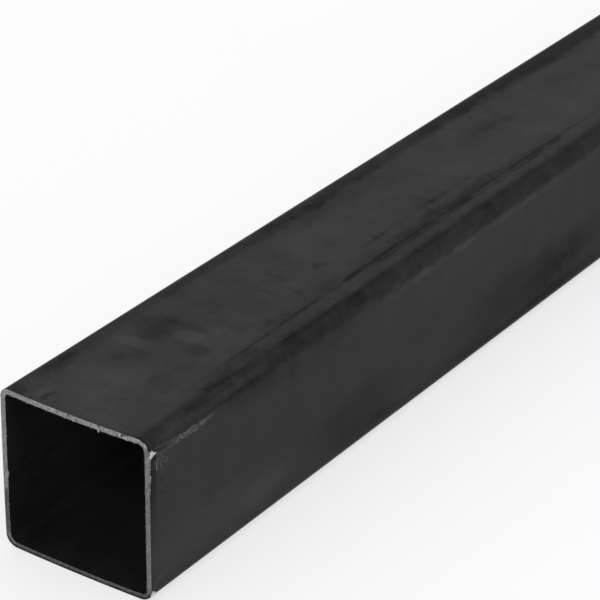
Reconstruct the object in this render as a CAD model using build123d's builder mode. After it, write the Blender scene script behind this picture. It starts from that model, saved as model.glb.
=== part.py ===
"""Square hollow steel section, cold formed from strip and welded along one side, cut to a stock length.

Frame, millimetres: X runs along the tube, +Z is up, and the origin is at the middle of the underside.
The wall with the weld seam is the +Y one.
"""

import os
from build123d import *

# Driving dimensions, in millimetres
length = 1000.0  # over both sawn ends
side = 50.0  # across the flats, outside
wall = 1.6  # thickness of the strip
bend_radius = 1.9  # inside radius of the four rolled corners
seam_below_middle = 1.6  # how far the seam lies below the middle of its wall
bead_width = 2.4  # the ridge of weld metal left inside, across the seam
bead_height = 0.5  # and how far it stands off the wall

# Worked out from them
bore = side - 2 * wall
outside_radius = bend_radius + wall
seam_wall = bore / 2  # the inner face of the welded wall
seam_middle = side / 2 - seam_below_middle
bead_root = seam_wall + wall / 2  # the bead's section starts inside the wall, so that the two fuse

os.makedirs("parts", exist_ok=True)

with BuildPart() as square_tube:
    with BuildSketch(Plane.YZ.offset(-length / 2)):
        with Locations((0, side / 2)):
            RectangleRounded(side, side, outside_radius)
            RectangleRounded(bore, bore, bend_radius, mode=Mode.SUBTRACT)
        with BuildLine():
            crown = ThreePointArc(
                (seam_wall, seam_middle - bead_width / 2),
                (seam_wall - bead_height, seam_middle),
                (seam_wall, seam_middle + bead_width / 2),
            )
            root = (bead_root, seam_middle)
            Polyline(crown @ 1, root, crown @ 0)
        make_face()
    extrude(amount=length)

square_tube.part.label = "square_tube"
export_step(square_tube.part, "parts/square_tube.step")
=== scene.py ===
import math

import bmesh
import bpy
from mathutils import Matrix, Vector


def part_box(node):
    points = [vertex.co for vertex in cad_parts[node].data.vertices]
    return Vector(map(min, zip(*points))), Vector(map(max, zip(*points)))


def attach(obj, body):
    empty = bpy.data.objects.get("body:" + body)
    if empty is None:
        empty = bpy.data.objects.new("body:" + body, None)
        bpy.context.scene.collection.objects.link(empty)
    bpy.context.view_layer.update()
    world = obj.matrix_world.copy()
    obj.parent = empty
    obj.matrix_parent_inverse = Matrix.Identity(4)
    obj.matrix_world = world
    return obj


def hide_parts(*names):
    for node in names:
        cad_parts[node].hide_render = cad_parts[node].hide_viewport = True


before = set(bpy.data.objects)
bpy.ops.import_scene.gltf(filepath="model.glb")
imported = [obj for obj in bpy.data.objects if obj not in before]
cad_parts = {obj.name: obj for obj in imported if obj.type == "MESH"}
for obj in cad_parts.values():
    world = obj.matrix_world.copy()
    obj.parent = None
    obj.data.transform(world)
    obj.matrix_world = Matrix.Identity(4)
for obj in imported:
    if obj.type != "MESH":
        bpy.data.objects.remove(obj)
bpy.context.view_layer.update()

# --- The rolled wall --------------------------------------------------------------------------------
# Steel strip, 1.6 mm thick, bent between rolls into a square tube and welded shut along one side.
# Rolling leaves the four corners with slightly different radii, the top a little hollow and the
# underside a little full. The ends are sawn off square and carry their own pieces.

MM = 0.001
low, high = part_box("square_tube")
LENGTH = high.x - low.x
SIDE = high.z - low.z
WALL = 1.6 * MM
RIM_DEPTH = 0.3 * MM  # how far the bright sawn rim reaches into the wall at each end
SMOOTH_BELOW = math.radians(40)  # the turn from face to face that is shaded as one surface
SAME_PLACE = 0.0005 * MM  # points closer together than this are one point
CLOSE_STRETCH = 60 * MM  # the stretch by the near end that gets more room in the wall's flat map
CLOSE_SHARE = 0.25  # how much of the flat map it gets
OUTSIDE_SHARE = 0.68  # how much of it the outer face gets, the other way
INSIDE_SHARE = 0.3
WAVINESS = 0.08 * MM  # how far the wall's faces wander
CALM_END = 20 * MM  # from here to each end they wander less and less

# The section: a corner's radius is the outer face's, a bend's is the inner one's.
SECTION_INPUTS = {
    "Side": SIDE,
    "Wall": WALL,
    "Upper Seam Corner": 2.9 * MM,
    "Upper Plain Corner": 4.7 * MM,
    "Lower Plain Corner": 3.8 * MM,
    "Lower Seam Corner": 3.6 * MM,
    "Upper Seam Bend": 1.3 * MM,
    "Upper Plain Bend": 2.3 * MM,
    "Lower Plain Bend": 1.8 * MM,
    "Lower Seam Bend": 2.5 * MM,
    "Top Dip": 0.6 * MM,
    "Under Belly": 0.44 * MM,
    "Seam Side Belly": 0.17 * MM,
}


class Output:
    """One output of a node. Arithmetic on it puts Math nodes in the same tree, and a name or a number in
    brackets gives another output of the same node."""

    def __init__(self, socket):
        self.socket = socket
        self.tree = socket.id_data

    def __getitem__(self, name):
        return Output(self.socket.node.outputs[name])

    def __add__(self, other):
        return calc("ADD", self, other)

    def __radd__(self, other):
        return calc("ADD", other, self)

    def __sub__(self, other):
        return calc("SUBTRACT", self, other)

    def __rsub__(self, other):
        return calc("SUBTRACT", other, self)

    def __mul__(self, other):
        return calc("MULTIPLY", self, other)

    def __truediv__(self, other):
        return calc("DIVIDE", self, other)

    def __mod__(self, other):
        return calc("MODULO", self, other)

    def __pow__(self, other):
        return calc("POWER", self, other)

    def __abs__(self):
        return calc("ABSOLUTE", self)

    def __gt__(self, other):
        return calc("GREATER_THAN", self, other)

    def __lt__(self, other):
        return calc("LESS_THAN", self, other)


def fill(node, values):
    """Each of these inputs of a node set to its value, or joined to an output or to a list of them."""
    for name, value in values.items():
        for one in value if isinstance(value, list) else [value]:
            if isinstance(one, Output):
                one.tree.links.new(one.socket, node.inputs[name])
            else:
                node.inputs[name].default_value = one


def put(tree, kind, values=None, **settings):
    """The first output of a new node with these settings and inputs."""
    node = tree.nodes.new(kind)
    for name, value in settings.items():
        setattr(node, name, value)
    fill(node, values or {})
    return Output(node.outputs[0])


def tree_of(values):
    """The tree that these values and outputs are in."""
    return next(value.tree for value in values if isinstance(value, Output))


def calc(operation, *values):
    """The result of a Math node on these values or outputs."""
    return put(tree_of(values), "ShaderNodeMath", dict(enumerate(values)), operation=operation)


def larger(one, other):
    return calc("MAXIMUM", one, other)


def smaller(one, other):
    return calc("MINIMUM", one, other)


def vector_calc(operation, one, other):
    """The result of a Vector Math node on two vectors, or on a vector and the number that scales it."""
    values = {0: one, "Scale" if operation == "SCALE" else 1: other}
    return put(tree_of((one, other)), "ShaderNodeVectorMath", values, operation=operation)


def parts_of(vector):
    """The three parts of a vector."""
    parts = put(vector.tree, "ShaderNodeSeparateXYZ", {0: vector})
    return parts[0], parts[1], parts[2]


def vector_of(*parts):
    """A vector from three parts."""
    return put(tree_of(parts), "ShaderNodeCombineXYZ", dict(enumerate(parts)))


def either(switch, if_not, if_so):
    """One number or the other, or in between."""
    return put(switch.tree, "ShaderNodeMix", {"Factor": switch, "A": if_not, "B": if_so})["Result"]


def new_group(kind, name, takes, gives):
    """A node group with these named inputs, each with its first value or its sort, and these named
    outputs, each with its sort. Also what the group is given, and the node that its results go into."""
    sorts = {int: "Int", float: "Float", tuple: "Vector"}
    tree = bpy.data.node_groups.new(name, kind)
    for title, value in takes.items():
        sort = sorts.get(type(value), value)
        made = tree.interface.new_socket(title, in_out="INPUT", socket_type="NodeSocket" + sort)
        if sort != value:
            made.default_value = value
    for title, sort in gives.items():
        tree.interface.new_socket(title, in_out="OUTPUT", socket_type="NodeSocket" + sort)
    given = Output(tree.nodes.new("NodeGroupInput").outputs[0])
    return tree, given, tree.nodes.new("NodeGroupOutput")


def outline_group():
    """The tube's section as a closed curve, its Y on the curve's X and its height on the curve's Y,
    drawn Inset inside the outer face. Equal counts give outer and inner outlines that match up."""
    takes = {
        "Side": SIDE,
        "Inset": 0.0,
        "Upper Seam Radius": 3.0 * MM,
        "Upper Plain Radius": 3.0 * MM,
        "Lower Plain Radius": 3.0 * MM,
        "Lower Seam Radius": 3.0 * MM,
        "Top Dip": 0.0,
        "Under Belly": 0.0,
        "Seam Side Belly": 0.0,
        "Corner Steps": 8,
        "Flat Cuts": 11,
    }
    tree, given, result = new_group("GeometryNodeTree", "tube_outline", takes, {"Curve": "Geometry"})
    half = given["Side"] * 0.5 - given["Inset"]
    across = half * 2.0
    square = put(tree, "GeometryNodeCurvePrimitiveQuadrilateral", {"Width": across, "Height": across})
    y, z, _ = parts_of(put(tree, "GeometryNodeInputPosition"))
    on_seam_side = y > 0.0
    upper = either(on_seam_side, given["Upper Plain Radius"], given["Upper Seam Radius"])
    lower = either(on_seam_side, given["Lower Plain Radius"], given["Lower Seam Radius"])
    values = {
        "Curve": square,
        "Count": given["Corner Steps"],
        "Radius": either(z > 0.0, lower, upper),
        "Limit Radius": False,
    }
    rounded = put(tree, "GeometryNodeFilletCurve", values, mode="POLY")
    index = put(tree, "GeometryNodeInputIndex")
    step = index % (given["Corner Steps"] + 1.0)
    starts_flat = calc("COMPARE", step, given["Corner Steps"], 0.5)
    cuts = starts_flat * given["Flat Cuts"]
    cut = put(tree, "GeometryNodeSubdivideCurve", {0: rounded, "Cuts": cuts})

    sideways = y / half
    upwards = z / half
    y_squared = abs(sideways) ** 2.0
    z_squared = abs(upwards) ** 2.0
    at_top = larger(upwards, 0.0) ** 4.0
    at_floor = larger(upwards * -1.0, 0.0) ** 4.0
    at_seam_side = larger(sideways, 0.0) ** 4.0
    dip = (y_squared - 1.0) * at_top * given["Top Dip"]
    belly = y_squared * at_floor * given["Under Belly"]
    inwards = z_squared * at_seam_side * given["Seam Side Belly"]
    offset = vector_of(inwards * -1.0, dip + belly, 0.0)
    fill(result, {"Curve": put(tree, "GeometryNodeSetPosition", {0: cut, "Offset": offset})})
    return tree


tube_outline = outline_group()


def outline(given, is_inner, corner_steps, flat_cuts):
    """The wall's outer or inner outline inside another tree, with that tree's own section inputs."""
    values = {title: given[title] for title in ("Side", "Top Dip", "Under Belly", "Seam Side Belly")}
    for corner in ("Upper Seam", "Upper Plain", "Lower Plain", "Lower Seam"):
        values[corner + " Radius"] = given[corner + (" Bend" if is_inner else " Corner")]
    if is_inner:
        values["Inset"] = given["Wall"]
    values |= {"Corner Steps": corner_steps, "Flat Cuts": flat_cuts}
    return put(given.tree, "GeometryNodeGroup", values, node_tree=tube_outline)


def section_grid(given, rows, **steps):
    """A grid of that many rows round the section, its last column on its first. Also each point's row,
    its share of the way round, its place on the outer and on the inner outline, and how far round it is
    from the middle of the top."""
    tree = given.tree
    outer = outline(given, is_inner=False, **steps)
    inner = outline(given, is_inner=True, **steps)
    count = put(tree, "GeometryNodeAttributeDomainSize", {0: outer}, component="CURVE")["Point Count"]
    grid = put(tree, "GeometryNodeMeshGrid", {"Vertices X": rows, "Vertices Y": count + 1.0})
    share_x, share_y, _ = parts_of(grid["UV Map"])
    row = share_x * (rows - 1.0)
    turn = calc("ROUND", share_y * count)
    column = turn % count

    def on(curve, value, kind):
        """The value at the point of the curve that belongs to the column."""
        values = {"Geometry": curve, "Value": value, "Index": column}
        return put(tree, "GeometryNodeSampleIndex", values, data_type=kind, domain="POINT")

    place = put(tree, "GeometryNodeInputPosition")
    so_far = on(outer, put(tree, "GeometryNodeSplineParameter")["Length"], "FLOAT")
    whole = put(tree, "GeometryNodeCurveLength", {0: outer})
    so_far = so_far + (turn > count - 0.5) * whole
    middle = given["Side"] * 0.5 + given["Upper Seam Corner"] * (math.pi / 2 - 1)
    around = so_far - middle
    outer_place = on(outer, place, "FLOAT_VECTOR")
    inner_place = on(inner, place, "FLOAT_VECTOR")
    return grid["Mesh"], row, share_y, outer_place, inner_place, around


def with_map(mesh, name, u, v):
    """The mesh with a map of that name, from these two fields."""
    values = {0: mesh, "Name": name, "Value": vector_of(u, v, 0.0)}
    settings = {"data_type": "FLOAT2", "domain": "CORNER"}
    return put(mesh.tree, "GeometryNodeStoreNamedAttribute", values, **settings)


def with_skin_map(mesh, x, around):
    """The mesh with its skin map: how far along it is from the near end, and how far round."""
    return with_map(mesh, "skin", x + LENGTH / 2, around)


def shaded(mesh, material):
    """The closing nodes of a tree: doubles merged, sharp turns left sharp, realized, in its material."""
    tree = mesh.tree
    merged = put(tree, "GeometryNodeMergeByDistance", {0: mesh, "Distance": SAME_PLACE})
    smooth = put(tree, "GeometryNodeSetShadeSmooth", {0: merged, "Shade Smooth": True})
    turn = put(tree, "GeometryNodeInputMeshEdgeAngle")
    values = {0: smooth, "Selection": turn > SMOOTH_BELOW, "Shade Smooth": False}
    edged = put(tree, "GeometryNodeSetShadeSmooth", values, domain="EDGE")
    return in_material(put(tree, "GeometryNodeRealizeInstances", {0: edged}), material)


def in_material(mesh, material, where=True):
    """The mesh, or the part of it that is picked out, in that material."""
    values = {0: mesh, "Selection": where, "Material": material}
    return put(mesh.tree, "GeometryNodeSetMaterial", values)


def wall_group():
    """The whole wall: the outer face from end to end, over the cut edge, and the inner face back."""
    takes = SECTION_INPUTS | {
        "Length": LENGTH,
        "Stations": 120,
        "Waviness": WAVINESS,
        "Outside": "Material",
        "Inside": "Material",
    }
    tree, given, result = new_group("GeometryNodeTree", "rolled_wall", takes, {"Mesh": "Geometry"})
    loop = given["Stations"] * 2.0 + 2.0
    mesh, row, share_round, outer, inner, around = section_grid(
        given, loop + 1.0, corner_steps=8, flat_cuts=12
    )
    turn = calc("ROUND", row) % loop
    is_inner = turn > given["Stations"] + 0.5
    station = either(is_inner, turn, loop - 1.0 - turn)
    x = (station / given["Stations"] - 0.5) * given["Length"]
    skin = put(tree, "ShaderNodeMix", {0: is_inner, 4: outer, 5: inner}, data_type="VECTOR")[1]
    y, z, _ = parts_of(skin)
    middle = given["Side"] * 0.5

    wave = put(tree, "ShaderNodeTexNoise", {"Vector": vector_of(x, y, z), "Scale": 14.0, "Detail": 1.0})
    to_end = given["Length"] * 0.5 - abs(x)
    calm = smaller(to_end / CALM_END, 1.0)
    scale = (wave["Fac"] - 0.7) * calm * given["Waviness"] / middle  # mostly inwards
    y = y + y * scale
    z = z + z * scale + middle
    placed = put(tree, "GeometryNodeSetPosition", {0: mesh, "Position": vector_of(x, y, z)})
    mapped = with_skin_map(placed, x, around)

    # The whole skin laid flat in one square, outside then inside, with more room for the near end.
    along = given["Length"] * 0.5 + x
    close = smaller(along / CLOSE_STRETCH, 1.0)
    beyond = larger(along - CLOSE_STRETCH, 0.0) / (given["Length"] - CLOSE_STRETCH)
    flat_u = beyond * (1.0 - CLOSE_SHARE) + close * CLOSE_SHARE
    outside_v = share_round * OUTSIDE_SHARE
    inside_v = share_round * INSIDE_SHARE + (1.0 - INSIDE_SHARE)
    mapped = with_map(mapped, "OFBake", flat_u, either(is_inner, outside_v, inside_v))
    done = shaded(mapped, given["Outside"])
    lining = (row > given["Stations"] + 1.0) * (row < loop - 1.0)
    fill(result, {"Mesh": in_material(done, given["Inside"], lining)})
    return tree


def grown(name, tree, **inputs):
    """A plain mesh object from a tree, with inputs given by name, spaces written as underscores."""
    seed = bpy.data.objects.new(name + "_seed", bpy.data.meshes.new(name + "_seed"))
    bpy.context.scene.collection.objects.link(seed)
    modifier = seed.modifiers.new(name, "NODES")
    modifier.node_group = tree
    for item in tree.interface.items_tree:
        title = item.name.replace(" ", "_")
        if item.in_out == "INPUT" and title in inputs:
            modifier[item.identifier] = inputs[title]
    bpy.context.view_layer.update()
    mesh = bpy.data.meshes.new_from_object(seed.evaluated_get(bpy.context.evaluated_depsgraph_get()))
    seed.modifiers.remove(modifier)
    bpy.data.objects.remove(seed)
    mesh.name = name
    piece = bpy.data.objects.new(name, mesh)
    bpy.context.scene.collection.objects.link(piece)
    return piece


def ramp(value, start, end, least=0.0, most=1.0):
    """A smooth step from least at start to most at end."""
    values = {"Value": value, "From Min": start, "From Max": end, "To Min": least, "To Max": most}
    settings = {"interpolation_type": "SMOOTHSTEP", "clamp": False}
    return put(value.tree, "ShaderNodeMapRange", values, **settings)


def noise(place, scale, detail=2.0, seed=0.0, rough=0.5, output="Fac"):
    """Noise from 0 to 1 at this place, its features about 1 / scale apart."""
    values = {"Vector": place, "Scale": scale, "Detail": detail, "W": seed, "Roughness": rough}
    return put(place.tree, "ShaderNodeTexNoise", values, noise_dimensions="4D")[output]


def scaled(place, x, y, z):
    """A place drawn out or squeezed along each axis."""
    return vector_calc("MULTIPLY", place, (x, y, z))


def swirled(place, reaches, *settings):
    """A place moved by noise with these settings, along each axis up to about a quarter of its reach."""
    centred = vector_calc("SUBTRACT", noise(place, *settings, "Color"), (0.5, 0.5, 0.5))
    return vector_calc("ADD", place, scaled(centred, *reaches))


def relief(height, strength, depth):
    """Normals for a relief too fine to be part of the mesh."""
    return put(height.tree, "ShaderNodeBump", {"Strength": strength, "Distance": depth, "Height": height})


def opened(material):
    """The material's tree and its Principled BSDF."""
    material.use_nodes = True
    return material.node_tree, material.node_tree.nodes["Principled BSDF"]


def mill_skin_group():
    """What rolling leaves on any skin of the strip: soft clouds and smaller blotches with edges like
    dried stains, from -1 to 1, and fine lengthwise streaks and grain, from 0 to 1."""
    takes = {"Place": "Vector", "Seed": 0.0}
    gives = {"Clouds": "Float", "Blotches": "Float", "Streaks": "Float", "Grain": "Float"}
    tree, given, result = new_group("ShaderNodeTree", "mill_skin", takes, gives)
    place = swirled(given["Place"], (12 * MM, 12 * MM, 12 * MM), 90.0, 2.0, given["Seed"], 0.5)
    broad = noise(scaled(place, 0.45, 1, 1), 55.0, 4.0, given["Seed"], 0.6)
    blots = noise(scaled(place, 0.8, 1, 1), 190.0, 4.0, given["Seed"], 0.65)
    values = {
        "Clouds": ramp(broad, 0.36, 0.64, -1.0, 1.0),
        "Blotches": ramp(blots, 0.4, 0.6, -1.0, 1.0),
        "Streaks": noise(scaled(given["Place"], 0.02, 1, 1), 1400.0, 2.0, given["Seed"], 0.7),
        "Grain": noise(given["Place"], 2600.0, 2.0, given["Seed"], 0.6),
    }
    fill(result, values)
    return tree


def mark_group():
    """An oval mark from 0 to 1, all lengths in millimetres: Soft is the share of it that fades out, and
    Fray moves its edge in or out."""
    takes = {
        "Along": 0.0,
        "Around": 0.0,
        "Fray": 0.0,
        "Middle Along": 0.0,
        "Middle Around": 0.0,
        "Half Length": 1.0,
        "Half Width": 1.0,
        "Soft": 0.6,
    }
    tree, given, result = new_group("ShaderNodeTree", "oval_mark", takes, {"Mask": "Float"})
    a = abs((given["Along"] - given["Middle Along"]) / given["Half Length"]) ** 2.0
    b = abs((given["Around"] - given["Middle Around"]) / given["Half Width"]) ** 2.0
    out = calc("SQRT", a + b) + given["Fray"]
    fill(result, {"Mask": ramp(out, 1.0 - given["Soft"], 1.0 + given["Soft"] * 0.3, 1.0, 0.0)})
    return tree


mill_skin = mill_skin_group()
oval_mark = mark_group()


def oval(*values):
    """The oval mark for these values, in the order of its inputs."""
    return put(tree_of(values), "ShaderNodeGroup", dict(enumerate(values)), node_tree=oval_mark)


def grain_relief(rolled, strength):
    """The rolled skin's own relief, of its streaks and its grain."""
    return relief(rolled["Streaks"] + rolled["Grain"] * 0.6, strength, 0.02 * MM)


# Marks on the skin, in millimetres along from the near end and round from the middle of the top. The
# plain side runs from 27 to 69, the underside from 75 to 118, and the seam side from 123 to 167. First
# the soft clouds: along, around, half length, half width, how much lighter or darker.
CLOUDS_AND_PAINTED_LIGHT = (
    # Painted sheen: this lighter cloud over the top by the near end.
    (19, -6, 15, 14, 0.36),
    (5, -15.5, 6, 2.0, 0.22),
    (42, -20.5, 30, 2.6, -0.08),
    (6, 0, 12, 16, 0.30),
    (4, -14, 4, 2, 0.20),
    (36, -12, 5, 4, 0.12),
    (51, -11.5, 10, 6.5, -0.28),
    (34, -8, 7, 7, -0.16),
    (30, 9, 14, 4, -0.06),
    (44, 17.8, 24, 2.6, -0.24),
    (40, 7, 8, 3, -0.10),
    (66, -8, 10, 7, -0.16),
    (84, -7, 6, 6, -0.14),
    (92, 4, 12, 6, 0.10),
    (113, -3, 9, 8, 0.12),
    (150, -16, 36, 6, -0.28),
    (148, 15, 70, 3.2, -0.20),
    (185, 2, 20, 10, 0.14),
    (216, -7, 19, 5, -0.18),
    (240, 6, 20, 9, 0.10),
    (285, -3, 30, 12, -0.06),
    (290, -21.5, 60, 5.0, -0.40),
    # Painted shade: this dark cloud low on the plain side, and those at 165, 98, 212, 204, 98, 188, 214,
    # 225, 280, 232 and 148 along.
    (205, 69, 60, 4, -0.26),
    (165, 66, 14, 5, -0.16),
    (130, 13.0, 100, 3.6, -0.27),
    (190, 13.5, 60, 3.4, -0.28),
    (172, 7, 24, 4, -0.14),
    (214, -21.5, 30, 4.5, -0.36),
    (278, -16.5, 16, 4, -0.22),
    (132, -16.5, 14, 4, -0.12),
    (270, -9, 14, 4.5, -0.16),
    (245, -2, 12, 7, 0.10),
    (98, 67, 20, 4.5, -0.24),
    (78, 15, 24, 3, -0.14),
    (93, 5, 6, 5, 0.14),
    (105, -3, 4, 9, -0.14),
    (119, -9, 11, 8, 0.13),
    (141, -2, 7, 3.5, 0.12),
    (168, -9, 15, 3.8, -0.16),
    (35, 19.4, 10, 2.0, -0.22),
    (12, 19.4, 9, 2.4, 0.18),
    (15, 23.8, 10, 1.8, 0.32),
    (18, 20.2, 16, 1.6, -0.16),
    (92, 12.2, 10, 3.4, 0.20),
    (62, 12.8, 9, 2.6, 0.15),
    (112, 12.2, 7, 2.6, 0.13),
    (288, -13.5, 12, 3.4, -0.14),
    (212, 53, 20, 4.5, -0.16),
    (204, 61, 18, 6, -0.16),
    (290, -18, 45, 5, -0.24),
    (46, 28.8, 22, 3.6, -0.24),
    (84, 29, 14, 5, -0.20),
    (20, 24, 20, 2, -0.10),
    (98, 59, 28, 9, -0.26),
    (50, 62, 14, 5, 0.26),
    (26, 60, 40, 9, 0.26),
    (160, 34, 60, 5, 0.08),
    (188, 58, 40, 11, -0.34),
    (214, 62, 20, 9, -0.22),
    (225, 67, 60, 3, -0.14),
    (280, 60, 40, 10, -0.30),
    (232, 58, 26, 9, -0.28),
    (148, 66, 20, 3, -0.16),
    (420, 4, 60, 11, -0.20),
    (520, -10, 40, 7, 0.20),
    (610, 6, 70, 9, -0.22),
    (760, -4, 50, 12, 0.18),
    (905, 5, 60, 12, -0.18),
    (400, 50, 70, 9, -0.24),
    (560, 40, 60, 8, 0.16),
    (720, 58, 60, 9, -0.26),
    (900, 44, 50, 10, 0.16),
    (60, 90, 40, 9, -0.26),
    (190, 104, 50, 8, 0.20),
    (340, 86, 60, 8, -0.28),
    (520, 100, 70, 10, -0.22),
    (700, 92, 60, 9, 0.20),
    (880, 104, 70, 8, -0.26),
    (40, 136, 30, 9, 0.20),
    (150, 158, 50, 7, -0.28),
    (300, 134, 60, 8, -0.24),
    (470, 156, 60, 7, 0.20),
    (640, 134, 60, 8, -0.26),
    (820, 154, 70, 8, -0.24),
    (950, 134, 40, 8, 0.20),
)
# Smaller smudges with ragged edges, and a few painted highlights, in the same numbers.
SMUDGES_AND_HIGHLIGHTS = (
    (2.2, -20.5, 2.2, 2.4, -0.36),
    (5.6, -11.9, 2.0, 0.8, -0.60),
    (3.0, -12.2, 1.9, 1.0, -0.60),
    (1.0, -14.9, 1.5, 0.9, -0.45),
    (1.4, -18.2, 1.2, 1.2, -0.35),
    (22, -20.8, 5, 1.6, -0.12),
    (19, -18.4, 5, 1.5, -0.14),
    (61, 3.5, 5, 1.8, 0.20),
    (150, 7.7, 30, 1.0, -0.14),
    # Painted highlight: these four light patches just below the upper plain corner.
    (131, 29.6, 6, 1.2, 0.35),
    (153, 29.4, 7, 1.1, 0.50),
    (176, 29.4, 8, 1.1, 0.30),
    (192, 29.4, 5, 1.0, 0.28),
    (20, -19.6, 8, 3.2, -0.32),
    (14.6, 5.5, 1.2, 0.9, -0.30),
    (27, 4.5, 2.8, 1.1, -0.28),
    (32, -10, 3.4, 2.6, -0.20),
    (36.5, -5.5, 2.4, 3.4, -0.18),
    (40.3, -12.5, 3.0, 6.5, 0.36),
    (50, -10, 8.5, 4.2, -0.20),
    (52, -17, 4, 2.6, -0.22),
    (52.3, -1, 3.4, 5.4, 0.40),
    (56.6, -5, 2.1, 8, -0.30),
    (46.6, 5, 4.6, 4.6, -0.34),
    (67, -5, 4.5, 1.8, -0.16),
    (71.5, 12, 2, 1.3, -0.26),
    (65, 8.4, 5, 1.1, -0.14),
    (84, 0, 1.0, 3.4, 0.18),
    (95, -2, 1.2, 4.6, -0.20),
    (93, 3, 1.3, 3.2, 0.15),
    (91, 8, 2.4, 1.3, -0.17),
    (107, 3.6, 2.2, 1.6, -0.32),
    (105.4, 8.4, 1.4, 4.5, -0.14),
    (103, -8, 3, 5, -0.14),
    (132.5, 6, 1.3, 10, -0.16),
    (162, 6, 1.6, 10, -0.20),
    (132, 7.7, 9, 1.5, -0.32),
    (164, 7.7, 9, 1.4, -0.28),
    (182.5, 7.7, 2.4, 1.0, -0.40),
    (208, -6.5, 4, 1.8, -0.18),
    (218, -6.5, 4.4, 2.2, -0.28),
    (228, -5, 5, 1.6, -0.18),
    (255, 3, 4.8, 1.8, -0.24),
    (267, -6, 6, 1.5, -0.22),
    (221, 16, 5, 1.6, -0.30),
    (31.5, 19.2, 2.2, 1.4, -0.16),
    (98, 24, 6, 2.0, -0.22),
    (65.5, 30.5, 4.4, 4.6, -0.20),
    (64, 34, 2.2, 3.0, -0.14),
    (5.2, 36.1, 0.9, 1.0, -0.28),
    (4.6, 40, 1.6, 0.8, -0.26),
    (46, 64, 3, 1.6, 0.18),
    (3.5, 66, 2.6, 1.0, 0.30),
    (112, 66.5, 10, 2, -0.20),
)
# Bands along the tube, a painted highlight and painted shade among them: from, to, around, half width,
# how much lighter or darker.
BANDS_AND_PAINTED_LIGHT = (
    (-9, 13, -21.4, 1.4, -0.10),
    (10, 104, -21.0, 2.0, -0.26),
    (104, 232, -20.2, 2.8, -0.38),
    (232, 400, -19.2, 3.4, -0.46),
    (380, 1010, -20.0, 2.4, -0.26),
    (95, 420, 27.4, 1.0, -0.16),
    (-9, 1010, 20.4, 2.0, -0.12),
    (34, 72, 20.6, 1.2, -0.15),
    (40, 130, 18.2, 1.6, -0.17),
    (66, 196, -20.6, 1.8, -0.13),
    (218, 256, -20.2, 2.2, -0.16),
    (262, 420, -20.6, 2.8, -0.24),
    (136, 420, 17.2, 1.2, -0.10),
    # Painted highlight: a light band just below the upper plain corner.
    (110, 400, 29.6, 1.1, 0.18),
    (128, 420, 19.2, 1.8, -0.13),
    # Painted shade: a dark band low on the plain side, on to the far end.
    (110, 1010, 68.4, 1.8, -0.20),
)
# Broken lines along the tube, in the same numbers.
LINES = (
    (30, 44, 16.0, 0.6, -0.25),
    (44, 110, 15.6, 0.75, -0.38),
    (104, 235, 15.2, 0.8, -0.42),
    (112, 225, 16.8, 0.8, -0.34),
    (230, 400, 15.6, 0.7, -0.25),
    (60, 400, 22.2, 0.9, -0.10),
    (2, 54, 24.6, 1.0, 0.26),
    (26, 66, 25.3, 1.3, -0.12),
    (380, 760, 14.2, 0.7, -0.36),
    (540, 1010, -12.5, 0.6, -0.28),
    (-9, 420, 79.5, 0.8, -0.36),
    (300, 900, 112.5, 0.7, -0.34),
    (520, 1010, 96.0, 0.5, -0.26),
    (-9, 640, 127.5, 0.7, -0.36),
    (200, 1010, 161.5, 0.8, -0.34),
)
SEAM_AROUND = 143.2  # the scarfed weld line, millimetres round from the middle of the top
SCARF_HALF_WIDTH = 1.7
STAIN_REACH = 2.65  # how far from the near end the saw stained the plain side
SCUFF_CREST = (18.0, 27.7)  # where the scuff's path is closest to the top: along, around
SCUFF_BEND = -0.004  # how it curves away from there
CURLS = (4.8, 30.9, 3.2, 2.6)  # the curls' patch: along, around, half length, half width
GOUGE = (2.9, 31.2)  # the gouge: along, around
SKIN_COLOUR = (0.041, 0.041, 0.0415)
DARKEST = 0.18  # the least share of that colour that marks on top of each other leave


def corner_arcs():
    """Where each rounded corner starts and ends, in millimetres round from the middle of the top. The
    corner where the round closes is there twice."""
    names = ("Upper Plain Corner", "Lower Plain Corner", "Lower Seam Corner", "Upper Seam Corner")
    radii = [SECTION_INPUTS[name] / MM for name in names]
    start = SIDE / MM / 2 - radii[0]
    arcs = []
    for radius, following in zip(radii, radii[1:] + radii[:1]):
        arcs.append((start, start + radius * math.pi / 2))
        start = arcs[-1][1] + SIDE / MM - radius - following
    whole = start - arcs[0][0]
    return arcs + [tuple(edge - whole for edge in arcs[-1])]


def scuff(spot, along, around):
    """A rub by something hard: a band of fine crossing strokes, which starts as two lines."""
    crest_along, crest_around = SCUFF_CREST
    path = abs(along - crest_along) ** 2.0 * SCUFF_BEND + crest_around
    off = around - path
    strokes = 0.0
    for slant, seed in ((0.5, 21.0), (-1.1, 25.0)):
        over = along * slant + off * 1.6
        drawn = noise(vector_of(along * 0.4, over, 0.0), 1.0, 3.0, seed, 0.7)
        strokes = larger(ramp(drawn, 0.5, 0.62), strokes)
    sparks = noise(scaled(spot, 2.0, 2.8, 1), 1.0, 2.0, 26.0, 0.6)
    strokes = strokes * ramp(sparks, 0.42, 0.6, 0.25, 1.6)
    strokes = strokes * ramp(abs(along - 17.5), 8.0, 4.0, 0.7, 1.35)
    half_width = ramp(along, 2.0, 14.0, 0.85, 0.95) * ramp(along, 30.0, 20.0, 0.2, 1.0)
    off = (strokes * -0.25 + abs(off)) / half_width
    band = ramp(off, 0.55, 0.95, 1.0, 0.0)
    twin = ramp(abs(off - 0.9), 0.5, 0.15)
    band = either(ramp(along, 13.0, 6.0), band, twin * 0.9)
    band = band * ramp(along, 1.6, 12.0, 0.5, 1.0)
    band = band * ramp(along, 1.5, 2.5) * ramp(along, 30.0, 24.0)
    return band * (strokes * 4.6 + 0.7)


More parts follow.
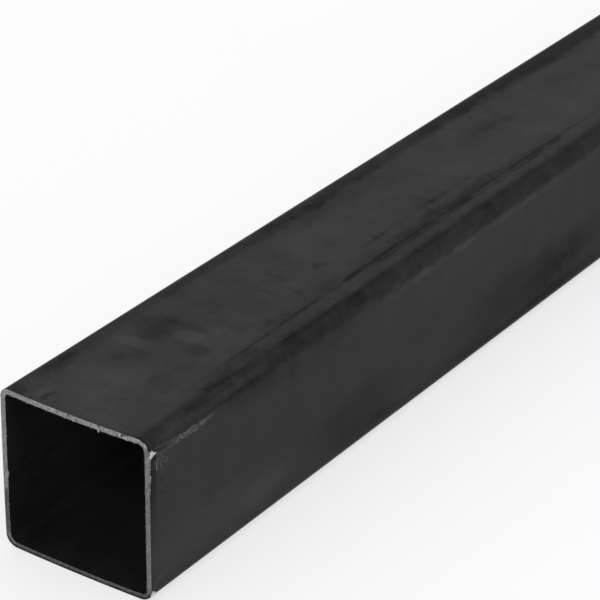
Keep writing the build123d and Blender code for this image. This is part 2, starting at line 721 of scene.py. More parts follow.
def curls_and_gouge(spot, along, around):
    """Fine bright curls below the start of the scuff, each with a shade beside it, and a short gouge."""
    threads = abs(noise(spot, 0.6, 2.0, 23.0, 0.5) - 0.5)
    shades = ramp(abs(threads - 0.06), 0.025, 0.005)
    curls = shades * -0.12 + ramp(threads, 0.035, 0.015)
    curls = oval(along, around, 0.0, *CURLS, 0.6) * curls
    gouge_along, gouge_around = GOUGE
    gouge = ramp(abs(along - gouge_along), 0.3, 0.1) * ramp(abs(around - gouge_around), 1.5, 0.9)
    return larger(curls, gouge * 1.6)


def outside_skin(material):
    """Dark mill skin: rolled clouds, painted shade on the corners, handling marks with some painted
    highlights and shade listed above, a bright scuff near one end, and the line where the weld was
    scarfed flush."""
    tree, skin = opened(material)
    place = put(tree, "ShaderNodeTexCoord")["Object"]
    spot = scaled(put(tree, "ShaderNodeUVMap", uv_map="skin"), 1 / MM, 1 / MM, 0)
    rolled = put(tree, "ShaderNodeGroup", {0: place, 1: 3.0}, node_tree=mill_skin)
    true_along, true_around, _ = parts_of(spot)

    def wandered(reach, scale, seed):
        """Each place moved up to about reach by noise, so that what is drawn there has uneven edges."""
        return parts_of(swirled(spot, (4 * reach, 4 * reach, 0), scale, 4.0, seed, 0.65))

    # The clear plain side was rubbed clean by its guide, so its clouds are fainter.
    clear = ramp(true_around, 26.0, 30.0) * ramp(true_around, 72.0, 69.0)
    cloudy = clear * -0.65 + 1.0
    bent, bent_round, _ = wandered(4.0, 0.06, 28.0)
    waves = vector_of(bent * 0.11, bent_round * 0.055, 0.0)
    waves = ramp(noise(waves, 1.0, 5.0, 27.0, 0.62), 0.36, 0.64, -1.0, 1.0)
    flecks = noise(scaled(place, 0.8, 1, 1), 620.0, 3.0, 16.0, 0.7)
    flecks = ramp(flecks, 0.38, 0.62, -1.0, 1.0)
    mottle = rolled["Clouds"] * 0.08 + rolled["Blotches"] * 0.09 + waves * 0.13 + flecks * 0.045
    rolling = mottle * cloudy + 1.0 + (rolled["Grain"] - 0.5) * 0.14 + (rolled["Streaks"] - 0.5) * 0.16

    # Marks since, and some painted highlights and shade: clouds and smudges, then bands and broken lines.
    tone = 1.0
    for marks, reach, scale, seed, soft, frayed in (
        (CLOUDS_AND_PAINTED_LIGHT, 3.0, 0.07, 11.0, 0.75, 0.6),
        (SMUDGES_AND_HIGHLIGHTS, 0.9, 0.35, 12.0, 0.5, 2.0),
    ):
        along, around, _ = wandered(reach, scale, seed)
        fray = noise(spot, 5 * scale, 4.0, seed + 20.0, 0.7) * frayed - 0.5 * frayed
        for middle, over, length, width, change in marks:
            tone = oval(along, around, fray, middle, over, length, width, soft) * change + tone
    broken = noise(scaled(spot, 0.09, 0.3, 1), 1.0, 4.0, 14.0, 0.7)
    teeth = noise(scaled(spot, 0.3, 0.6, 1), 1.0, 5.0, 29.0, 0.72)
    for stretches, least, reach, scale, frayed in (
        (BANDS_AND_PAINTED_LIGHT, 0.8, 1.5, 0.13, 5.0),
        (LINES, 0.85, 0.5, 0.16, 1.2),
    ):
        along, around, _ = wandered(reach, scale, 13.0)
        fray = teeth * frayed - 0.5 * frayed
        strength = ramp(broken, 0.38, 0.6, least, 1.15)
        for start, end, over, width, change in stretches:
            mask = ramp(abs(around - over) + fray, 0.5 * width, 1.3 * width, 1.0, 0.0)
            mask = mask * ramp(along, start - 6, start + 6) * ramp(along, end - 6, end + 6, 1.0, 0.0)
            tone = mask * strength * change + tone

    # Painted shade on the four corners, and on a little of the flat beside each.
    from_corner = 1000.0
    for start, end in corner_arcs():
        from_corner = smaller(from_corner, larger(start - true_around, true_around - end))
    ragged = noise(scaled(place, 60, 300, 300), 1.0, 4.0, 15.0, 0.65) * 3.0 - 1.5
    tone = tone + ramp(from_corner + ragged, -1.4, 0.9, -0.3, 0.0)

    # Sawing stained a narrow strip of skin along both cuts, wider on the plain side of the near one.
    to_cut = LENGTH / MM / 2 - abs(parts_of(place)[0] / MM)
    to_cut = ragged * 0.25 + to_cut
    tone = tone + ramp(to_cut, 0.5, 1.1, -0.22, 0.0)
    near = ragged * 0.15 + true_along
    stain = ramp(near, STAIN_REACH + 0.2, STAIN_REACH - 0.2) * ramp(true_around, 26.8, 27.6)
    stain = stain * ramp(true_around, 56.0, 34.0, 0.0, 1.0)
    tone = stain * -0.5 + tone
    tone = larger(tone, DARKEST) * rolling

    tone = tone + scuff(spot, true_along, true_around)
    tone = curls_and_gouge(spot, true_along, true_around) * 3.6 + tone

    # The scarfing tool left a flush, scraped strip along the seam, with the fused line in its middle.
    off_seam = abs(around - SEAM_AROUND)
    scarf = ramp(off_seam, 0.85 * SCARF_HALF_WIDTH, 1.1 * SCARF_HALF_WIDTH, 1.0, 0.0)
    scraped = noise(scaled(spot, 0.02, 5.0, 1), 1.0, 2.0, 24.0, 0.7)
    tone = scarf * (scraped * 1.2 - 0.25) + tone
    tone = tone + ramp(off_seam, 0.1, 0.35, -0.35, 0.0)

    rough = (tone - 1.0) * 0.2 + 0.42
    values = {
        "Metallic": 1.0,
        "Specular Tint": (0.6, 0.6, 0.6, 1.0),
        "Base Color": vector_calc("SCALE", SKIN_COLOUR, larger(tone, DARKEST)),
        "Roughness": larger(rolled["Blotches"] * 0.03 + rough, 0.3),
        "Normal": grain_relief(rolled, 0.4),
    }
    fill(skin, values)


outside = bpy.data.materials.new("mill_skin_outside")
outside_skin(outside)
# The lining's colour, far darker than the outside's: partly the duller inner skin, partly painted shade
# for the hollow.
LINING_COLOUR_AND_SHADE = (0.0135, 0.0135, 0.0135)


def inside_skin(material):
    """The inner face: the rolled skin again, duller, with painted shade, painted light deeper in and no
    corner shade.
    """
    tree, lining = opened(material)
    place = put(tree, "ShaderNodeTexCoord")["Object"]
    rolled = put(tree, "ShaderNodeGroup", {0: place, 1: 8.0}, node_tree=mill_skin)
    tone = rolled["Clouds"] * 0.06 + 1.0
    tone = rolled["Blotches"] * 0.05 + tone
    from_mouth = LENGTH / 2 - abs(parts_of(place)[0])
    # Painted light: lighter deeper into the tube, up to 3.6 times as light from 45 mm in as at the mouth.
    tone = tone * ramp(from_mouth, 3 * MM, 45 * MM, 1.0, 3.6)
    values = {
        "Metallic": 0.3,
        "Specular IOR Level": 0.3,
        "Base Color": vector_calc("SCALE", LINING_COLOUR_AND_SHADE, tone),
        "Roughness": rolled["Blotches"] * 0.05 + 0.55,
        "Normal": grain_relief(rolled, 0.5),
    }
    fill(lining, values)


inside = bpy.data.materials.new("mill_skin_inside")
inside_skin(inside)

wall = grown("tube_wall", wall_group(), Length=LENGTH - 2 * RIM_DEPTH, Outside=outside, Inside=inside)
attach(wall, "root")
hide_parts("square_tube")

# --- The weld bead ----------------------------------------------------------------------------------
# The strip's two edges are pressed together and fused. Outside, the metal that squeezes out is scarfed
# off flush. Inside it is left standing: a low, slightly rippled ridge along the middle of one side.

SEAM_HEIGHT = 23.4 * MM  # the seam's height above the floor
BEAD_WIDTH = 2.4 * MM
BEAD_HEIGHT = 0.5 * MM


def bead_group():
    """A rippled ridge along the tube, its root sunk in the wall and its ends sawn off."""
    takes = {
        "Length": LENGTH,
        "Place": (0.0, SIDE / 2 - WALL, SEAM_HEIGHT),
        "Width": BEAD_WIDTH,
        "Height": BEAD_HEIGHT,
        "Ripple": 0.22,
        "Stations": 900,
        "Seed": 4.0,
        "Skin": "Material",
        "Face": "Material",
    }
    tree, given, result = new_group("GeometryNodeTree", "weld_bead", takes, {"Mesh": "Geometry"})
    half = given["Length"] * 0.5
    start = vector_of(half * -1.0, 0.0, 0.0)
    ends = {"Start": start, "End": vector_of(half, 0.0, 0.0)}
    line = put(tree, "GeometryNodeCurvePrimitiveLine", ends)
    path = put(tree, "GeometryNodeResampleCurve", {"Curve": line, "Count": given["Stations"]})
    ring = put(tree, "GeometryNodeCurvePrimitiveCircle", {"Resolution": 14, "Radius": 1.0})
    tube = put(tree, "GeometryNodeCurveToMesh", {0: path, 1: ring, "Fill Caps": True})

    x, side, up = parts_of(put(tree, "GeometryNodeInputPosition"))
    ripple = noise(vector_of(x, 0.0, 0.0), 420.0, 3.0, given["Seed"], 0.6)
    folds = noise(vector_of(x, side, up), 300.0, 2.0, given["Seed"] + 2.0, 0.6)
    swell = (ripple - 0.5) * given["Ripple"] + 1.0 + (folds - 0.5) * given["Ripple"]
    peaked = larger(side, 0.0) ** 1.5 + larger(smaller(side, 0.0), -0.3)
    stands = peaked * (given["Height"] * swell)
    across = up * (given["Width"] * 0.5)
    wander = (ripple - 0.5) * (given["Height"] * 0.6)
    local = vector_of(x, stands * -1.0, across + wander)
    total = vector_calc("ADD", local, given["Place"])
    placed = put(tree, "GeometryNodeSetPosition", {0: tube, "Position": total})
    done = shaded(with_map(placed, "rim", x, WALL / 2), given["Skin"])
    facing, _, _ = parts_of(put(tree, "GeometryNodeInputNormal"))
    fill(result, {"Mesh": in_material(done, given["Face"], abs(facing) > 0.9)})
    return tree


sawn_steel = bpy.data.materials.new("sawn_steel")  # on the bead's tips too; made up with the sawn ends
bead = grown("weld_bead", bead_group(), Skin=inside, Face=sawn_steel)
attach(bead, "root")
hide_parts("square_tube")

# --- The sawn ends ----------------------------------------------------------------------------------
# Each end is sawn straight through. The cut face is bare grey steel with the blade's slanting marks.
# Painted light and shade make it brightest along the top, darker below where the cut was taken up again,
# and darkest low down. A ragged burr stands along its edges.

BURR = 0.2 * MM  # the most that the burr's teeth stand into the tube
NOTCH = 0.12 * MM  # how deep the chips in it are
SAW_DEPTH = 0.02 * MM  # how deep the blade's marks are
SAW_PITCH = 0.9 * MM  # how far apart they are
FACE_ROWS = 12  # rows of faces across the cut face
FACE_START = 4  # the row where the cut face begins, past the outer edge's own rows
FACE_END = FACE_START + FACE_ROWS


def stepped(row, first, *steps):
    """A number that starts at first and changes by each (row, change) on the way to that row."""
    total = first
    for at, change in steps:
        total = put(row.tree, "ShaderNodeClamp", {0: row - (at - 1.0)}) * change + total
    return total


def saw_marks(y, z, seed):
    """The blade's marks from 0 to 1: fine lines that slant across the end, some deeper than others."""
    across = y * 0.8 + z * 0.6
    down = y * 0.6 - z * 0.8
    place = vector_of(across, down * 0.12, 0.0)
    return noise(place, 1 / SAW_PITCH, 3.0, seed, 0.6)


def sawn_end_group(name, lips, tongues):
    """A ring that closes one end of the wall: over the outer edge, across the cut face, over the burr and
    back. Each lip is a place (y, z), a reach and a height where the outer edge is torn outwards, and each
    tongue is one where the inner edge stands into the tube."""
    takes = SECTION_INPUTS | {
        "Face Place": 0.0,
        "Outwards": 1.0,
        "Depth": RIM_DEPTH,
        "Burr": BURR,
        "Saw Depth": SAW_DEPTH,
        "Seed": 0.0,
        "Face": "Material",
        "Outside": "Material",
        "Inside": "Material",
    }
    tree, given, result = new_group("GeometryNodeTree", name, takes, {"Mesh": "Geometry"})
    rows = FACE_END + 6
    mesh, row, share_round, outer, inner, around = section_grid(
        given, rows, corner_steps=24, flat_cuts=200
    )
    row = calc("ROUND", row)
    y, z, _ = parts_of(outer)
    patches = noise(outer, 350.0, 2.0, given["Seed"])
    teeth = noise(outer, 2200.0, 2.0, given["Seed"], 0.7)
    notch = ramp(noise(outer, 1300.0, 1.0, given["Seed"] + 5.0), 0.66, 0.76)
    burr = ramp(patches, 0.42, 0.6) * ramp(teeth, 0.5, 0.68, 0.08, 1.0) * given["Burr"]
    burr = burr - notch * NOTCH

    def torn(edge, places, core):
        """How far that edge stands out: each height within that share of its reach, less further off."""
        total = 0.0
        for place in places:
            at_y, at_z, reach, height = (number * MM for number in place)
            away = vector_calc("DISTANCE", edge, (at_y, at_z - SIDE / 2, 0.0))["Value"]
            total = ramp(away, reach, core * reach, 0.0, height) + total
        return total

    lip = torn(outer, lips, 0.6) * ramp(teeth, 0.42, 0.6, 0.1, 1.3)
    jagged = ramp(teeth, 0.42, 0.58, 0.3, 1.2)
    burr = torn(inner, tongues, 0.3) * jagged + burr

    # How far through the wall each row lies, and how deep below the cut face.
    through = stepped(
        row,
        0.0,
        (2, lip * -1.0),
        (3, 0.04 * MM),
        (4, lip + 0.06 * MM),
        (FACE_END + 2, burr),
        (FACE_END + 3, burr * -0.6),
        (FACE_END + 4, burr * -0.4),
    )
    face_share = {"Value": row, "From Min": FACE_START, "From Max": FACE_END + 1}
    face_share = put(tree, "ShaderNodeMapRange", face_share)
    through = face_share * (given["Wall"] - 0.1 * MM) + through
    through = through * (1.0 - (row > FACE_END + 4.5))
    deep = stepped(
        row,
        given["Depth"],
        (1, 0.13 * MM - given["Depth"]),
        (2, -0.07 * MM),
        (3, lip * -0.3 - 0.05 * MM),
        (4, lip * 0.5 - 0.01 * MM),
        (5, lip * -0.2),
        (FACE_END + 2, burr * -0.2),
        (FACE_END + 3, burr * 0.2 + 0.07 * MM),
        (FACE_END + 4, given["Depth"] - 0.07 * MM),
    )
    on_face = calc("COMPARE", row, (FACE_START + FACE_END + 1) / 2, FACE_ROWS / 2 + 0.1)
    marks = (saw_marks(y, z, given["Seed"]) - 0.5) * on_face * given["Saw Depth"]
    deep = marks * 2.0 + deep

    inwards = vector_calc("SUBTRACT", inner, outer)
    moved = vector_calc("SCALE", inwards, through / given["Wall"])
    y, z, _ = parts_of(vector_calc("ADD", outer, moved))
    x = given["Face Place"] - given["Outwards"] * deep
    z = given["Side"] * 0.5 + z
    placed = put(tree, "GeometryNodeSetPosition", {0: mesh, "Position": vector_of(x, y, z)})
    mapped = with_skin_map(placed, x, around)
    mapped = with_map(mapped, "rim", around, through)

    # The ring laid flat as four strips, one above the other. A face lies in the strip of its own middle.
    quarters = share_round * 4.0
    middle = put(tree, "GeometryNodeFieldOnDomain", {0: quarters}, domain="FACE", data_type="FLOAT")
    strip = calc("FLOOR", middle)
    flat_u = (quarters - strip) * 0.96 + 0.02
    flat_v = (row / (rows - 1) * 0.94 + 0.03 + strip) * 0.25
    mapped = with_map(mapped, "OFBake", flat_u, flat_v)
    flipped = put(tree, "GeometryNodeFlipFaces", {0: mapped, "Selection": given["Outwards"] > 0.0})
    done = shaded(flipped, given["Face"])
    done = in_material(done, given["Outside"], row < 1.5)
    fill(result, {"Mesh": in_material(done, given["Inside"], row > FACE_END + 3.5)})
    return tree


# Pits, bright nicks and some painted highlights and shadows on the near face: y, height, reach in
# millimetres, how much lighter or darker.
NICKS_AND_PAINTED_LIGHT = (
    (1.6, 48.9, 0.55, -0.60),
    (-0.9, 48.5, 0.5, -0.50),
    (7.0, 49.0, 0.7, 0.35),
    (-8.6, 48.9, 0.45, -0.45),
    # From here to -16.9 across: a small step in the outer edge drawn in paint, its painted highlight in
    # the two bright entries and its painted shadow line at -15.9 across.
    (-14.2, 48.8, 0.9, -0.40),
    (-14.2, 48.9, 0.35, 0.70),
    (-15.2, 48.9, 0.55, 0.60),
    (-15.9, 48.9, 0.45, -0.70),
    (-16.9, 50.0, 1.6, -0.55),
    (-19.8, 48.9, 0.7, 0.35),
    (-21.2, 48.6, 0.6, -0.35),
    (-21.4, 49.5, 0.6, 0.40),
    (-23.9, 48.4, 0.7, 1.20),
    (17.6, 49.4, 0.5, -0.30),
    (-24.6, 44.0, 1.6, 0.20),
    (-24.6, 39.6, 2.6, 0.15),
    (24.2, 33.0, 0.8, 0.20),
    (24.2, 42.0, 1.0, -0.15),
    (24.0, 18.3, 0.7, -0.50),
    (23.6, 3.6, 1.2, 0.90),
    (23.0, 2.4, 0.8, 0.60),
    # Painted highlight on the rim at the lower plain corner.
    (-23.4, 1.3, 1.0, 0.80),
    (-23.0, 2.4, 0.5, -0.30),
)


def sawn_face(material):
    """Bare sawn steel: fine slanting lines, pits, nicks and a dark outer edge, painted light on top,
    painted shade low.
    """
    tree, steel = opened(material)
    place = put(tree, "ShaderNodeTexCoord")["Object"]
    _, y, z = parts_of(place)
    rim = put(tree, "ShaderNodeUVMap", uv_map="rim")
    through = parts_of(scaled(rim, 1 / MM, 1 / MM, 1))[1]
    lines = saw_marks(y, z, 2.0)
    fine = saw_marks(y * 3.0, z * 3.0, 4.0)
    spots = noise(place, 900.0, 3.0, 5.0, 0.6)
    grit = noise(place, 2400.0, 2.0, 7.0, 0.6)
    patches = noise(place, 230.0, 2.0, 8.0)
    drawn = noise(scaled(rim, 0.4 / MM, 3.0 / MM, 0), 1.0, 3.0, 9.0, 0.6)
    y, z = y / MM, z / MM

    # Painted light and shade: brightest along the top, darker below the step in the cut, and darkest and
    # broken along the floor.
    shine_with_painted_light = ramp(z + (patches * 3.0 - 1.5), 17.3, 18.3, 0.088, 0.225)
    plain_side = ramp(y, -19.5, -23.0)
    shine_with_painted_light = either(plain_side, shine_with_painted_light, 0.18)
    shine_with_painted_light = either(ramp(z, 47.0, 48.6), shine_with_painted_light, 0.265)
    ragged = spots * 1.4 + (grit * 0.8 + through)
    painted_floor_shade = ramp(ragged, 1.65, 2.2, 0.028, 0.115)
    shine_with_painted_light = either(ramp(z, 4.6, 2.2), shine_with_painted_light, painted_floor_shade)

    gritty = ramp(grit, 0.36, 0.62, -0.36, 0.22) * either(plain_side, 1.0, 0.45)
    tone = (lines * 0.8 + 0.6) * (fine * 0.8 + 0.6) * ramp(spots, 0.36, 0.64, 0.88, 1.12)
    tone = tone * (gritty + 1.0) * ramp(drawn, 0.36, 0.64, 0.86, 1.14)
    for at_y, at_z, reach, change in NICKS_AND_PAINTED_LIGHT:
        away = vector_calc("DISTANCE", vector_of(y, z, 0.0), (at_y, at_z, 0.0))["Value"]
        frayed = spots * reach + away
        tone = tone + ramp(frayed, 1.5 * reach, 0.9 * reach, 0.0, change)
    edge = ramp(spots * 0.14 + through, 0.14, 0.28, 0.3, 1.0)
    edge = larger(edge, ramp(y, 21.0, 23.5) * ramp(z, 22.0, 32.0))
    tone = either(ramp(through, -0.01, -0.06), tone * edge, 1.6)
    values = {
        "Metallic": 1.0,
        "Base Color": vector_calc("SCALE", (1.0, 1.0, 1.0), tone * shine_with_painted_light),
        "Roughness": spots * 0.2 + 0.35,
        "Normal": relief(fine + spots * 0.5, 0.6, 0.02 * MM),
    }
    fill(steel, values)


sawn_face(sawn_steel)

# Where an edge is torn, in millimetres: across, height above the floor, reach, how far it stands out.
# Lips are on the outer edge, and tongues on the inner one.
NEAR_LIPS = (
    (-25.0, 43.4, 2.6, 0.30),
    (-25.0, 38.9, 1.6, 0.36),
    (-25.0, 35.4, 1.2, 0.12),
    (-23.7, 48.5, 0.9, 0.20),
    (-24.6, 1.6, 0.9, 0.15),
)
NEAR_TONGUES = (
    (3.4, 47.9, 0.6, 0.24),
    (0.1, 47.9, 0.5, 0.24),
    (-1.8, 47.9, 0.5, 0.26),
    (-12.9, 48.0, 0.8, 0.16),
    (-17.6, 48.1, 0.7, 0.16),
    (-19.9, 48.2, 0.4, 0.30),
    (13.0, 48.0, 1.0, 0.16),
    (23.3, 37.4, 2.2, 0.20),
    (23.3, 35.1, 0.5, 0.40),
    (23.3, 23.8, 0.7, 0.30),
    (23.3, 22.9, 0.5, 0.40),
    (-23.4, 14.0, 1.4, 0.10),
)
FAR_TONGUES = (
    (23.4, 12.0, 1.5, 0.20),
    (6.0, 48.0, 0.8, 0.35),
    (-14.0, 48.0, 2.0, 0.18),
    (-23.4, 34.0, 0.9, 0.30),
    (-4.0, 1.6, 1.2, 0.22),
)
FAR_LIPS = (
    (25.0, 30.0, 3.0, 0.20),
    (-12.0, 50.0, 2.0, 0.15),
    (24.4, 1.8, 1.2, 0.18),
)
for name, face, outwards, lips, tongues, seed in (
    ("near_sawn_end", low.x, -1.0, NEAR_LIPS, NEAR_TONGUES, 1.0),
    ("far_sawn_end", high.x, 1.0, FAR_LIPS, FAR_TONGUES, 6.0),
):
    ring = sawn_end_group(name, lips, tongues)
    sizes = {"Face_Place": face, "Outwards": outwards, "Seed": seed}
    end = grown(name, ring, Face=sawn_steel, Outside=outside, Inside=inside, **sizes)
    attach(end, "root")
    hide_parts("square_tube")

# --- Burrs and the torn corner ----------------------------------------------------------------------
# Where the blade broke out of the wall it left slivers of steel along the inner edges and down part of
# one outer edge. At the near end it also tore up a bright flake at each plain corner, and one sliver
# hangs from the inner top edge. All of it is the wall's own steel.

SLIVER_WIDTH = 0.2 * MM
SLIVER_LENGTH = 0.36 * MM
INNER_PLACES = 300  # places for slivers round each inner edge
INNER_SHARE = 0.28  # what share of them has one


def sliver_row_group():
    """Flat pointed slivers at random places along a curve in the section, leaning out of the cut face and
    to the curve's left, or to its right where Lean is negative. Share is the share of places with one."""
    takes = {
        "Curve": "Geometry",
        "Places": 200,
        "Share": 0.3,
        "Lean": 1.0,
        "Length": SLIVER_LENGTH,
        "Width": SLIVER_WIDTH,
        "Face Place": 0.0,
        "Outwards": 1.0,
        "Side": SIDE,
        "Seed": 0,
    }
    tree, given, result = new_group("GeometryNodeTree", "sliver_row", takes, {"Slivers": "Geometry"})

    def chance(least, most, more_seed):
        seed = given["Seed"] + more_seed
        return put(tree, "FunctionNodeRandomValue", {2: least, 3: most, "Seed": seed})[1]

    values = {0: given["Curve"], "Count": given["Places"]}
    points = put(tree, "GeometryNodeCurveToPoints", values, mode="COUNT")
    y, z, _ = parts_of(put(tree, "GeometryNodeInputPosition"))
    in_plane = vector_of(given["Face Place"], y, given["Side"] * 0.5 + z)
    stood = put(tree, "GeometryNodeSetPosition", {0: points, "Position": in_plane})
    ahead_y, ahead_z, _ = parts_of(points["Tangent"])
    lean = given["Lean"] * chance(0.5, 1.2, 0)
    out = given["Outwards"] * chance(0.1, 0.9, 1)
    aim = vector_of(out, chance(-0.5, 0.5, 2) - ahead_z * lean, ahead_y * lean + chance(-0.5, 0.5, 3))
    length = chance(0.35, 1.3, 4) * given["Length"]
    width = given["Width"] * chance(0.6, 2.2, 5)
    point = {"Vertices": 4, "Radius Top": 0.08, "Radius Bottom": 0.5, "Depth": 1.0}
    values = {
        0: stood,
        "Selection": chance(0.0, 1.0, 6) < given["Share"],
        "Instance": put(tree, "GeometryNodeMeshCone", point),
        "Rotation": put(tree, "FunctionNodeAlignRotationToVector", {"Vector": aim}, axis="Z"),
        "Scale": vector_of(width, given["Width"] * 0.5, length),
    }
    fill(result, {"Slivers": put(tree, "GeometryNodeInstanceOnPoints", values)})
    return tree


sliver_row = sliver_row_group()


def burr_group(name, fringes):
    """The slivers of one end: thinly all round the inner edge, and close together along each fringe."""
    takes = SECTION_INPUTS | {
        "Face Place": 0.0,
        "Outwards": 1.0,
        "Seed": 0,
        "Steel": "Material",
    }
    tree, given, result = new_group("GeometryNodeTree", name, takes, {"Mesh": "Geometry"})
    inner_edge = outline(given, is_inner=True, corner_steps=8, flat_cuts=12)
    edges = [(inner_edge, INNER_PLACES, INNER_SHARE, 1.0)]
    for start, end, places, share in fringes:
        start, end = ((y * MM, z * MM - SIDE / 2, 0.0) for y, z in (start, end))
        edge = put(tree, "GeometryNodeCurvePrimitiveLine", {"Start": start, "End": end})
        edges.append((edge, places, share, -1.0))
    slivers = []
    for number, (edge, places, share, lean) in enumerate(edges):
        values = {title: given[title] for title in ("Face Place", "Outwards", "Side")}
        values |= {"Curve": edge, "Places": places, "Share": share, "Lean": lean}
        values["Seed"] = given["Seed"] + 20.0 * number
        slivers.append(put(tree, "GeometryNodeGroup", values, node_tree=sliver_row))
    every = put(tree, "GeometryNodeJoinGeometry", {0: slivers})
    real = put(tree, "GeometryNodeRealizeInstances", {0: every})
    fill(result, {"Mesh": in_material(real, given["Steel"])})
    return tree


def fresh_steel(name, shade):
    """Steel torn so lately that it is still bright, with fine torn streaks."""
    material = bpy.data.materials.new(name)
    tree, steel = opened(material)
    place = put(tree, "ShaderNodeTexCoord")["Object"]
    streaks = noise(scaled(place, 0.4, 1, 1), 2400.0, 3.0, 7.0, 0.6)
    values = {
        "Metallic": 1.0,
        "Base Color": vector_calc("SCALE", (1.0, 1.0, 1.0), streaks * shade + 0.5 * shade),
        "Roughness": streaks * 0.3 + 0.25,
        "Normal": relief(streaks, 0.6, 0.03 * MM),
    }
    fill(steel, values)
    return material


torn_steel = fresh_steel("torn_steel", 0.27)
# Stretches of an outer edge with slivers close together, in millimetres: from (across, height) to
# (across, height), places, what share of them has one.
NEAR_FRINGES = (((-25.0, 46.0), (-25.0, 36.0), 60, 0.6),)
FAR_FRINGES = (((8.0, 49.5), (-4.0, 49.45), 50, 0.5),)
for name, face, outwards, fringes, seed in (
    ("near_burrs", low.x, -1.0, NEAR_FRINGES, 3),
    ("far_burrs", high.x, 1.0, FAR_FRINGES, 8),
):
    sizes = {"Face_Place": face, "Outwards": outwards, "Seed": seed}
    burrs = grown(name, burr_group(name, fringes), Steel=torn_steel, **sizes)
    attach(burrs, "root")
    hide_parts("square_tube")

# Each flake's outline on the plain side, clockwise: along from the cut, height, how far it stands out, in
# millimetres.
UPPER_FLAKE = (
    (-0.1, 45.0, 0.05),
    (0.05, 46.0, 0.1),
    (0.3, 46.9, 0.05),
    (0.7, 46.6, 0.15),
    (1.15, 46.95, 0.1),
    (1.6, 46.3, 0.2),
    (2.6, 45.95, 0.35),
    (1.7, 45.5, 0.2),
    (1.1, 45.1, 0.1),
    (0.4, 44.7, 0.05),
)
LOWER_FLAKE = (
    (-0.05, 2.5, 0.05),
    (0.05, 3.7, 0.1),
    (0.5, 4.1, 0.05),
    (0.9, 3.6, 0.15),
    (1.6, 3.3, 0.25),
    (0.9, 2.8, 0.15),
    (0.5, 2.2, 0.1),
    (0.15, 1.8, 0.05),
)
# A sliver that hangs from the inner top edge: across, height, how far it stands out of the cut face.
HUNG_SLIVER = (
    (-8.75, 48.1, 0.0),
    (-8.1, 48.2, 0.0),
    (-7.95, 47.55, 0.05),
    (-8.2, 47.2, 0.1),
    (-8.6, 47.3, 0.1),
    (-8.65, 47.7, 0.0),
)
ROOT_DEPTH = 0.15  # how deep their roots are sunk in the wall
UPPER_CORNER = SECTION_INPUTS["Upper Plain Corner"]
LOWER_CORNER = SECTION_INPUTS["Lower Plain Corner"]


def skin_place(along, height, proud):
    """A place that far proud of the plain side, also where the side turns into its corners."""
    z = height * MM
    radius = UPPER_CORNER if z > SIDE / 2 else LOWER_CORNER
    past = max(abs(z - SIDE / 2) - (SIDE / 2 - radius), 0.0)
    y = -SIDE / 2 + radius - math.sqrt(radius**2 - past**2)
    return (low.x + along * MM, y - proud * MM, z)


def face_place(y, height, proud):
    """A place that far proud of the near cut face."""
    return (low.x - proud * MM, y * MM, height * MM)


def torn_flake(name, rim, crown, place, steel):
    """A closed, crowned flake with its root sunk in the wall. Place turns its numbers into a place."""
    mesh = bpy.data.meshes.new(name)
    shape = bmesh.new()
    front = [shape.verts.new(place(*point)) for point in rim]
    back = [shape.verts.new(place(one, other, -ROOT_DEPTH)) for one, other, _ in rim]
    top = shape.verts.new(place(*crown))
    root = shape.verts.new(place(*crown[:2], -ROOT_DEPTH - 0.05))
    for one, other, back_one, back_other in zip(front, front[1:] + front[:1], back, back[1:] + back[:1]):
        shape.faces.new((one, other, top))
        shape.faces.new((back_other, back_one, root))
        shape.faces.new((other, one, back_one, back_other))
    bmesh.ops.recalc_face_normals(shape, faces=shape.faces)
    shape.to_mesh(mesh)
    shape.free()
    mesh.materials.append(steel)
    flake = bpy.data.objects.new(name, mesh)
    bpy.context.scene.collection.objects.link(flake)
    return flake


bright_steel = fresh_steel("bright_steel", 0.55)
for name, rim, crown, place, steel in (
    ("upper_flake", UPPER_FLAKE, (0.8, 45.9, 0.4), skin_place, bright_steel),
    ("lower_flake", LOWER_FLAKE, (0.5, 3.2, 0.3), skin_place, bright_steel),
    ("hung_sliver", HUNG_SLIVER, (-8.35, 47.6, 0.15), face_place, torn_steel),
):
    flake = torn_flake(name, rim, crown, place, steel)
    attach(flake, "root")
    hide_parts("square_tube")

# --- The studio -------------------------------------------------------------------------------------
# A plain white floor and a soft even surround, with three large soft boxes above it. The floor glows a
# little where it is seen, so that it stays white, and takes the tube's shadow all the same.

FLOOR_REACH = 6.0  # from the middle to each side, in metres
FLOOR_GLOW = 1.06  # how bright the floor looks by itself
GLOW_SHARE = 0.6  # how much of what is seen of it is that glow

floor_mesh = bpy.data.meshes.new("floor")
corners = [(-1, -1), (1, -1), (1, 1), (-1, 1)]
floor_mesh.from_pydata([(x * FLOOR_REACH, y * FLOOR_REACH, 0) for x, y in corners], [], [(0, 1, 2, 3)])
floor = bpy.data.objects.new("floor", floor_mesh)
bpy.context.scene.collection.objects.link(floor)
paint = bpy.data.materials.new("white_floor")
tree, surface = opened(paint)
fill(surface, {"Base Color": (0.9, 0.9, 0.9, 1), "Roughness": 0.9, "Specular IOR Level": 0.0})
path = put(tree, "ShaderNodeLightPath")
seen = larger(larger(path["Is Camera Ray"], path["Is Glossy Ray"]), path["Is Transmission Ray"])
white = put(tree, "ShaderNodeEmission", {"Color": (1, 1, 1, 1), "Strength": FLOOR_GLOW})
mixed = put(tree, "ShaderNodeMixShader", {0: seen * GLOW_SHARE, 1: Output(surface.outputs[0]), 2: white})
fill(tree.nodes["Material Output"], {"Surface": mixed})
floor_mesh.materials.append(paint)

world = bpy.data.worlds.new("surround")
bpy.context.scene.world = world
world.use_nodes = True
fill(world.node_tree.nodes["Background"], {"Color": (1, 1, 1, 1), "Strength": 0.85})

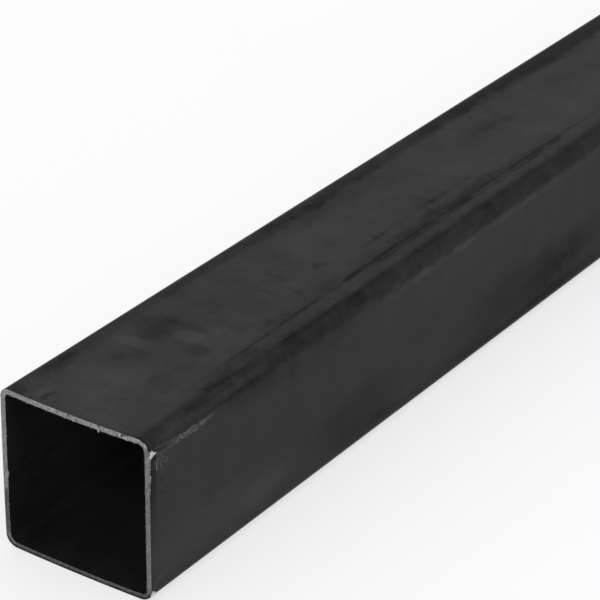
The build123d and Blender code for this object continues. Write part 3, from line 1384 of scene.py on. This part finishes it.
# Soft boxes: place, what each one is turned to, its two sides in metres, and its power in watts.
for name, place, width, height, power in (
    ("key", (-0.9, -1.3, 1.7), 1.8, 1.8, 6.5),
    ("far", (1.7, 1.1, 1.3), 2.2, 1.2, 2.6),
    ("back", (-0.6, 1.8, 1.0), 1.6, 0.9, 2.0),
):
    box = bpy.data.lights.new(name, "AREA")
    box.shape = "RECTANGLE"
    box.size = width
    box.size_y = height
    box.energy = power
    lamp = bpy.data.objects.new(name, box)
    lamp.location = place
    lamp.rotation_euler = Vector(place).to_track_quat("Z", "Y").to_euler()
    bpy.context.scene.collection.objects.link(lamp)

# --- The camera -------------------------------------------------------------------------------------
# It looks down on the near sawn end and along the tube, from the plain side. Where it stands comes from
# where the middle of the near end has to show.

PICTURE = 600  # pixels a side
FOCAL_PIXELS = 2855.0
AIM = (-224.33, 195.09)  # where the middle of the near end shows, in pixels right of and below the centre
DISTANCE = 15.132 * SIDE  # from the lens to the plane of that point
YAW, PITCH, ROLL = (math.radians(a) for a in (34.376, 28.131, 0.681))

sight = Vector((math.cos(YAW) * math.cos(PITCH), math.sin(YAW) * math.cos(PITCH), -math.sin(PITCH)))
level = Vector((math.sin(YAW), -math.cos(YAW), 0.0))
upright = level.cross(sight)
right = math.cos(ROLL) * level + math.sin(ROLL) * upright
up = math.cos(ROLL) * upright - math.sin(ROLL) * level
near_end = Vector((low.x, 0.0, (low.z + high.z) / 2))
per_pixel = DISTANCE / FOCAL_PIXELS
eye = near_end - DISTANCE * sight - AIM[0] * per_pixel * right + AIM[1] * per_pixel * up

lens = bpy.data.cameras.new("camera")
lens.sensor_width = 36.0
lens.lens = FOCAL_PIXELS / PICTURE * lens.sensor_width
lens.clip_start = 0.05
camera = bpy.data.objects.new("camera", lens)
camera.matrix_world = Matrix.Translation(eye) @ Matrix((right, up, -sight)).transposed().to_4x4()
bpy.context.scene.collection.objects.link(camera)
bpy.context.scene.camera = camera

bpy.context.scene.view_settings.view_transform = "Standard"
